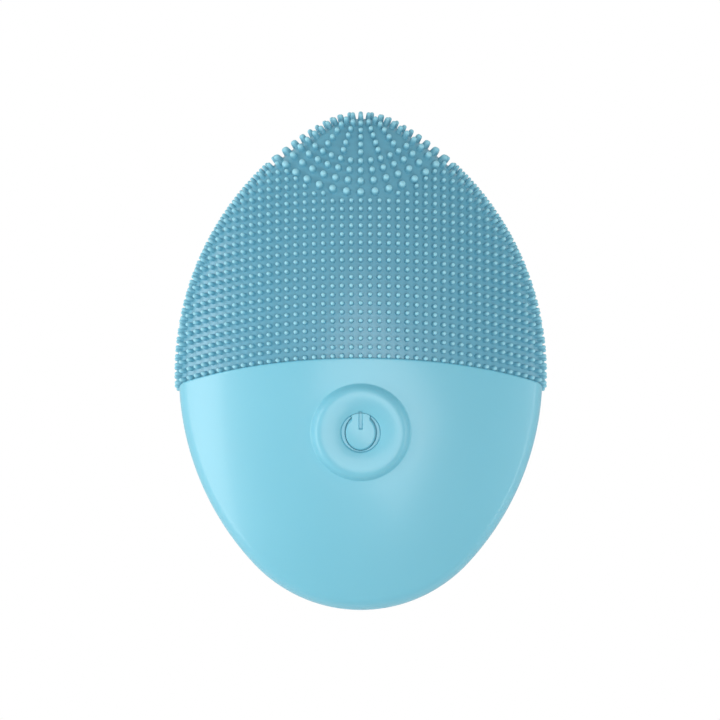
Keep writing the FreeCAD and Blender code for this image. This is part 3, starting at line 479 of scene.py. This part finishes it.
# ---- bristles: read from the CAD node, built again with rounded tips -----------------------------------
def bristle_places():
    """Root, axis, root radius and length of every bristle of the CAD node, in millimetres."""
    mesh = frame["nodes"]["bristles"].data
    count = len(mesh.vertices)
    co = np.empty(count * 3)
    mesh.vertices.foreach_get("co", co)
    co = co.reshape(-1, 3) / MM
    key = np.round(co, 4)
    _, first, same = np.unique(key, axis=0, return_index=True, return_inverse=True)
    same = same.ravel()
    loops = np.empty(len(mesh.loops), int)
    mesh.loops.foreach_get("vertex_index", loops)
    tris = same[loops].reshape(-1, 3)
    parent = np.arange(len(first))

    def find(i):
        while parent[i] != i:
            parent[i] = parent[parent[i]]
            i = parent[i]
        return i

    for a, b, c in tris:
        ra, rb, rc = find(a), find(b), find(c)
        parent[rb] = ra
        parent[find(rc)] = ra
    label = np.array([find(i) for i in range(len(first))])
    pts = co[first]
    order = np.argsort(label, kind="stable")
    splits = np.nonzero(np.diff(label[order]))[0] + 1
    found = []
    for group in np.split(order, splits):
        p = pts[group]
        centre = p.mean(0)
        spread = p - centre
        _, axes = np.linalg.eigh(spread.T @ spread)
        axis = axes[:, 2]
        along = spread @ axis
        if along.max() - along.min() < 0.5:
            continue
        low, high = p[along < along.min() + 0.03], p[along > along.max() - 0.03]
        low_r = np.median(np.linalg.norm(low - low.mean(0), axis=1))
        high_r = np.median(np.linalg.norm(high - high.mean(0), axis=1))
        if high_r > low_r:
            low, high, low_r, high_r = high, low, high_r, low_r
        root, tip = low.mean(0), high.mean(0)
        d = tip - root
        found.append((root, d / np.linalg.norm(d), low_r, np.linalg.norm(d)))
    return found


def bristle_piece(name, places, sides, steps):
    """Tapered round-ended pins. The attribute "rise" is 0 at the root and 1 at the tip."""
    verts, faces, rise = [], [], []
    for root, axis, radius, length in places:
        tip_r = radius * 0.78
        helper = np.array([1.0, 0.0, 0.0]) if abs(axis[0]) < 0.8 else np.array([0.0, 1.0, 0.0])
        u = np.cross(axis, helper)
        u /= np.linalg.norm(u)
        w = np.cross(axis, u)
        dome = tip_r * 0.85
        profile = [(radius * 1.12, -0.12), (radius * 1.0, 0.08)]
        profile.append((tip_r * 1.03, length - dome))
        for i in range(1, steps):
            a = math.pi / 2 * i / steps
            profile.append((tip_r * math.cos(a), length - dome + dome * math.sin(a)))
        base = len(verts)
        for r, h in profile:
            for j in range(sides):
                a = 2 * math.pi * j / sides
                verts.append(root + axis * h + (u * math.cos(a) + w * math.sin(a)) * r)
                rise.append(h / length)
        verts.append(root + axis * length)
        rise.append(1.0)
        for i in range(len(profile) - 1):
            for j in range(sides):
                k = (j + 1) % sides
                a, b = base + i * sides, base + (i + 1) * sides
                faces.append((a + j, a + k, b + k, b + j))
        top = base + (len(profile) - 1) * sides
        for j in range(sides):
            faces.append((top + j, top + (j + 1) % sides, len(verts) - 1))
    mesh = bpy.data.meshes.new(name)
    mesh.from_pydata([tuple(v) for v in (np.array(verts) * MM)], [], faces)
    mesh.polygons.foreach_set("use_smooth", [True] * len(mesh.polygons))
    attribute = mesh.attributes.new("rise", "FLOAT", "POINT")
    attribute.data.foreach_set("value", np.clip(np.array(rise), 0, 1).astype(np.float32))
    obj = bpy.data.objects.new(name, mesh)
    bpy.context.scene.collection.objects.link(obj)
    return obj


# ---- power key -----------------------------------------------------------------------------------------
def key_reach(phi):
    """Radius of the key's edge in each direction: an ellipse, and a neck to the hole's wall at the top."""
    ellipse = 1.0 / np.sqrt((np.cos(phi) / 2.7) ** 2 + (np.sin(phi) / 3.13) ** 2)
    neck = neck_share(phi)
    return ellipse * (1 - neck) + 3.54 * neck


def make_key():
    around = 360
    phi = np.linspace(0, 2 * math.pi, around, endpoint=False)
    reach = key_reach(phi)
    shares = np.concatenate([np.linspace(0.01, 0.88, 46), np.linspace(0.88, 1.0, 12)[1:]])
    layers = []
    for s in shares:
        r = reach * s
        x, y = r * np.cos(phi), r * np.sin(phi)
        z = KEY_TOP - KEY_DOME + np.sqrt(KEY_DOME**2 - r * r)
        near_edge = reach - r
        rounding = 0.22 * smooth((0.30 - near_edge) / 0.30) ** 2
        z = z - rounding * (1 - neck_share(phi))
        notch = tick_depth(x, y, *TICK)
        z = z - notch * np.maximum(z - TICK_ON_KEY, 0)
        layers.append(np.stack([x, y, z], 1))
    for z in (KEY_SIDE_Z, KEY_BOTTOM_Z):
        layers.append(np.stack([reach * np.cos(phi), reach * np.sin(phi), np.full(around, z)], 1))
    for z in (KEY_BOTTOM_Z, KEY_STEM_Z):
        layers.append(np.stack([KEY_STEM * np.cos(phi), KEY_STEM * np.sin(phi), np.full(around, z)], 1))
    pts = from_button(np.array(layers))
    verts = list(pts.reshape(-1, 3))
    faces = [tuple(reversed(f)) for f in grid_faces(len(layers), around)]
    verts.append(from_button(np.array([[0.0, 0.0, KEY_TOP]]))[0])
    for j in range(around):
        faces.append((j, (j + 1) % around, len(verts) - 1))
    return new_object("power_key", verts, faces)


# ---- materials -----------------------------------------------------------------------------------------
def shader(name):
    mat = bpy.data.materials.new(name)
    mat.use_nodes = True
    tree = mat.node_tree
    tree.nodes.clear()
    out = tree.nodes.new("ShaderNodeOutputMaterial")
    bsdf = tree.nodes.new("ShaderNodeBsdfPrincipled")
    tree.links.new(bsdf.outputs["BSDF"], out.inputs["Surface"])
    return mat, tree, bsdf


def mottle(tree, scale, detail=3.0):
    where = tree.nodes.new("ShaderNodeTexCoord")
    noise = tree.nodes.new("ShaderNodeTexNoise")
    noise.inputs["Scale"].default_value = scale
    noise.inputs["Detail"].default_value = detail
    tree.links.new(where.outputs["Object"], noise.inputs["Vector"])
    return noise


def two_tone(tree, factor, low, high):
    mix = tree.nodes.new("ShaderNodeMix")
    mix.data_type = "RGBA"
    mix.inputs["A"].default_value = (*low, 1.0)
    mix.inputs["B"].default_value = (*high, 1.0)
    tree.links.new(factor, mix.inputs["Factor"])
    return mix.outputs["Result"]


def spread_rough(tree, bsdf, factor, low, high):
    span = tree.nodes.new("ShaderNodeMapRange")
    span.inputs["To Min"].default_value = low
    span.inputs["To Max"].default_value = high
    tree.links.new(factor, span.inputs["Value"])
    tree.links.new(span.outputs["Result"], bsdf.inputs["Roughness"])


def fine_bump(tree, bsdf, scale, strength, distance):
    noise = mottle(tree, scale, 2.0)
    bump = tree.nodes.new("ShaderNodeBump")
    bump.inputs["Strength"].default_value = strength
    bump.inputs["Distance"].default_value = distance
    tree.links.new(noise.outputs["Fac"], bump.inputs["Height"])
    tree.links.new(bump.outputs["Normal"], bsdf.inputs["Normal"])


def silicone(name, colour, rough=0.42, sub=0.15, grain=0.02):
    """Satin silicone: slight unevenness of tone, fine grain, a little light passing through it."""
    mat, tree, bsdf = shader(name)
    noise = mottle(tree, 60.0)
    low = [c * 0.975 for c in colour]
    high = [min(c * 1.02, 1.0) for c in colour]
    tone = two_tone(tree, noise.outputs["Fac"], low, high)
    tree.links.new(tone, bsdf.inputs["Base Color"])
    spread_rough(tree, bsdf, noise.outputs["Fac"], rough - 0.03, rough + 0.03)
    fine_bump(tree, bsdf, 2500.0, grain, 0.00002)
    bsdf.inputs["Subsurface Weight"].default_value = sub
    bsdf.inputs["Subsurface Radius"].default_value = (0.4, 0.8, 1.0)
    bsdf.inputs["Subsurface Scale"].default_value = 0.0012
    bsdf.inputs["Specular IOR Level"].default_value = 0.70
    bsdf.inputs["Coat Weight"].default_value = 0.45
    bsdf.inputs["Coat Roughness"].default_value = 0.20
    return mat


def bristle_silicone(name, root, tip, sub=0.1):
    """Silicone with painted shade and light: darker down among the roots, where the bristles shade each
    other, and paler where the light reaches the tips.
    """
    mat, tree, bsdf = shader(name)
    rise = tree.nodes.new("ShaderNodeAttribute")
    rise.attribute_name = "rise"
    noise = mottle(tree, 500.0)
    # painted shade: the colour runs from dark at the roots to pale at the tips, standing in for the shade
    # among the bristles
    bend = tree.nodes.new("ShaderNodeMapRange")
    bend.interpolation_type = "SMOOTHSTEP"
    bend.inputs["From Min"].default_value = 0.25
    bend.inputs["From Max"].default_value = 1.0
    tree.links.new(rise.outputs["Fac"], bend.inputs["Value"])
    add = tree.nodes.new("ShaderNodeMath")
    add.operation = "MULTIPLY_ADD"
    add.use_clamp = True
    add.inputs[1].default_value = 0.12
    tree.links.new(noise.outputs["Fac"], add.inputs[0])
    tree.links.new(bend.outputs["Result"], add.inputs[2])
    tree.links.new(two_tone(tree, add.outputs["Value"], root, tip), bsdf.inputs["Base Color"])
    spread_rough(tree, bsdf, noise.outputs["Fac"], 0.40, 0.50)
    bsdf.inputs["Subsurface Weight"].default_value = sub
    bsdf.inputs["Subsurface Radius"].default_value = (0.4, 0.8, 1.0)
    bsdf.inputs["Subsurface Scale"].default_value = 0.0006
    return mat


def plain_piece(slot):
    """Material of an inner piece, from the record's class and colour, with uneven tone and a fine surface."""
    metal = slot["class"] in ("brushed_steel", "chrome", "aluminium", "brass")
    mat, tree, bsdf = shader("m_" + slot["slot"])
    noise = mottle(tree, 260.0 if metal else 180.0, 4.0)
    colour = slot["base_color"][:3]
    low = [c * 0.9 for c in colour]
    high = [min(c * 1.06, 1.0) for c in colour]
    tree.links.new(two_tone(tree, noise.outputs["Fac"], low, high), bsdf.inputs["Base Color"])
    rough = 0.32 if metal else (0.2 if slot["class"] == "gloss_plastic" else 0.5)
    spread_rough(tree, bsdf, noise.outputs["Fac"], rough - 0.06, rough + 0.08)
    fine_bump(tree, bsdf, 3500.0, 0.12, 0.00003)
    bsdf.inputs["Metallic"].default_value = 1.0 if metal else 0.0
    return mat


def dress(obj, mat):
    obj.data.materials.clear()
    obj.data.materials.append(mat)


BODY = (0.192, 0.575, 0.715)
grip_mat = silicone("grip_silicone", BODY, rough=0.46)
# painted shade: the sleeve gets a darker colour than the body to stand in for the shade among the bristles'
# roots
sleeve_shaded_mat = silicone("sleeve_silicone", (0.140, 0.430, 0.560), rough=0.5, sub=0.1)
# bristle root colour is painted shade among the bristles; tip colour is painted light, paler than the body
bristle_shaded_mat = bristle_silicone("bristle_silicone", (0.145, 0.420, 0.545), (0.325, 0.690, 0.805))

record = frame["record"]
slots = {m["slot"]: m for m in record["materials"]}
made_mats = {}
for sub in record["subparts"]:
    node, slot = sub["node"], sub["material_slot"]
    if slot not in made_mats:
        made_mats[slot] = plain_piece(slots[slot])
    obj = frame["nodes"][node]
    dress(obj, made_mats[slot])
dress(frame["nodes"]["port_cover"], grip_mat)

grip = make_grip()
dress(grip, grip_mat)
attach(grip, "handset")
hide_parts("grip_skin", "port_frame")

sleeve = make_sleeve()
dress(sleeve, sleeve_shaded_mat)
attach(sleeve, "handset")
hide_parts("bristle_sleeve")

key = make_key()
dress(key, silicone("key_silicone", BODY, rough=0.44))
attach(key, "button")
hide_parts("power_button")

places = bristle_places()
big = [p for p in places if p[2] > 0.47]
small = [p for p in places if p[2] <= 0.47]
small_left = [p for p in small if p[0][0] < -1.0]
small_right = [p for p in small if p[0][0] >= -1.0]
for name, group, sides, steps in (
    ("bristles_tip", big, 14, 5),
    ("bristles_left", small_left, 10, 4),
    ("bristles_right", small_right, 10, 4),
):
    piece = bristle_piece(name, group, sides, steps)
    dress(piece, bristle_shaded_mat)
    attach(piece, "handset")
    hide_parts("bristles")


# ---- stage ---------------------------------------------------------------------------------------------
def floor_material():
    """Pale paper sweep: plain white seen straight on, and a pale matt surface for everything it lights."""
    mat, tree, bsdf = shader("paper")
    noise = mottle(tree, 12.0)
    tone = two_tone(tree, noise.outputs["Fac"], (0.80, 0.80, 0.80), (0.84, 0.84, 0.84))
    tree.links.new(tone, bsdf.inputs["Base Color"])
    spread_rough(tree, bsdf, noise.outputs["Fac"], 0.75, 0.85)
    path = tree.nodes.new("ShaderNodeLightPath")
    glow = tree.nodes.new("ShaderNodeEmission")
    glow.inputs["Color"].default_value = (1.0, 1.0, 1.0, 1.0)
    glow.inputs["Strength"].default_value = 1.0
    mix = tree.nodes.new("ShaderNodeMixShader")
    out = next(n for n in tree.nodes if n.type == "OUTPUT_MATERIAL")
    tree.links.new(path.outputs["Is Camera Ray"], mix.inputs[0])
    tree.links.new(bsdf.outputs["BSDF"], mix.inputs[1])
    tree.links.new(glow.outputs["Emission"], mix.inputs[2])
    tree.links.new(mix.outputs["Shader"], out.inputs["Surface"])
    return mat


bpy.ops.mesh.primitive_plane_add(size=3.0, location=(0, 0, -0.0002))
floor = bpy.context.object
floor.name = "floor"
dress(floor, floor_material())

world = bpy.data.worlds.new("studio")
bpy.context.scene.world = world
world.use_nodes = True
wt = world.node_tree
wt.nodes.clear()
wout = wt.nodes.new("ShaderNodeOutputWorld")
dim = wt.nodes.new("ShaderNodeBackground")
dim.inputs["Color"].default_value = (0.95, 0.98, 1.0, 1.0)
dim.inputs["Strength"].default_value = 0.41
bright = wt.nodes.new("ShaderNodeBackground")
bright.inputs["Color"].default_value = (1.0, 1.0, 1.0, 1.0)
bright.inputs["Strength"].default_value = 1.0
wpath = wt.nodes.new("ShaderNodeLightPath")
wmix = wt.nodes.new("ShaderNodeMixShader")
wt.links.new(wpath.outputs["Is Camera Ray"], wmix.inputs[0])
wt.links.new(dim.outputs["Background"], wmix.inputs[1])
wt.links.new(bright.outputs["Background"], wmix.inputs[2])
wt.links.new(wmix.outputs["Shader"], wout.inputs["Surface"])


def area_light(name, place, target, size, size_y, watts):
    data = bpy.data.lights.new(name, "AREA")
    data.shape = "RECTANGLE"
    data.size, data.size_y = size, size_y
    data.energy = watts
    obj = bpy.data.objects.new(name, data)
    obj.location = place
    obj.rotation_euler = (Vector(target) - Vector(place)).to_track_quat("-Z", "Y").to_euler()
    bpy.context.scene.collection.objects.link(obj)


area_light("key_left", (-0.57, -0.05, 0.19), (0, 0, 0.015), 0.70, 0.20, 2.05)
area_light("overhead", (0.09, -0.08, 0.70), (0, 0, 0.015), 0.42, 0.66, 2.50)
area_light("rim_right", (0.58, -0.10, 0.075), (0.02, 0, 0.015), 0.50, 0.04, 0.50)

scene = bpy.context.scene
scene.view_settings.view_transform = "Standard"

camera_data = bpy.data.cameras.new("camera")
camera_data.sensor_width = 36.0
DISTANCE = 2.5
WIDE = 0.1307
camera_data.lens = 36.0 * DISTANCE / WIDE
camera_data.clip_end = 20.0
camera = bpy.data.objects.new("camera", camera_data)
scene.collection.objects.link(camera)
camera.location = (-0.00013, 0.0025, 0.013 + DISTANCE)
camera.rotation_euler = (0.0, 0.0, 0.0)
scene.camera = camera
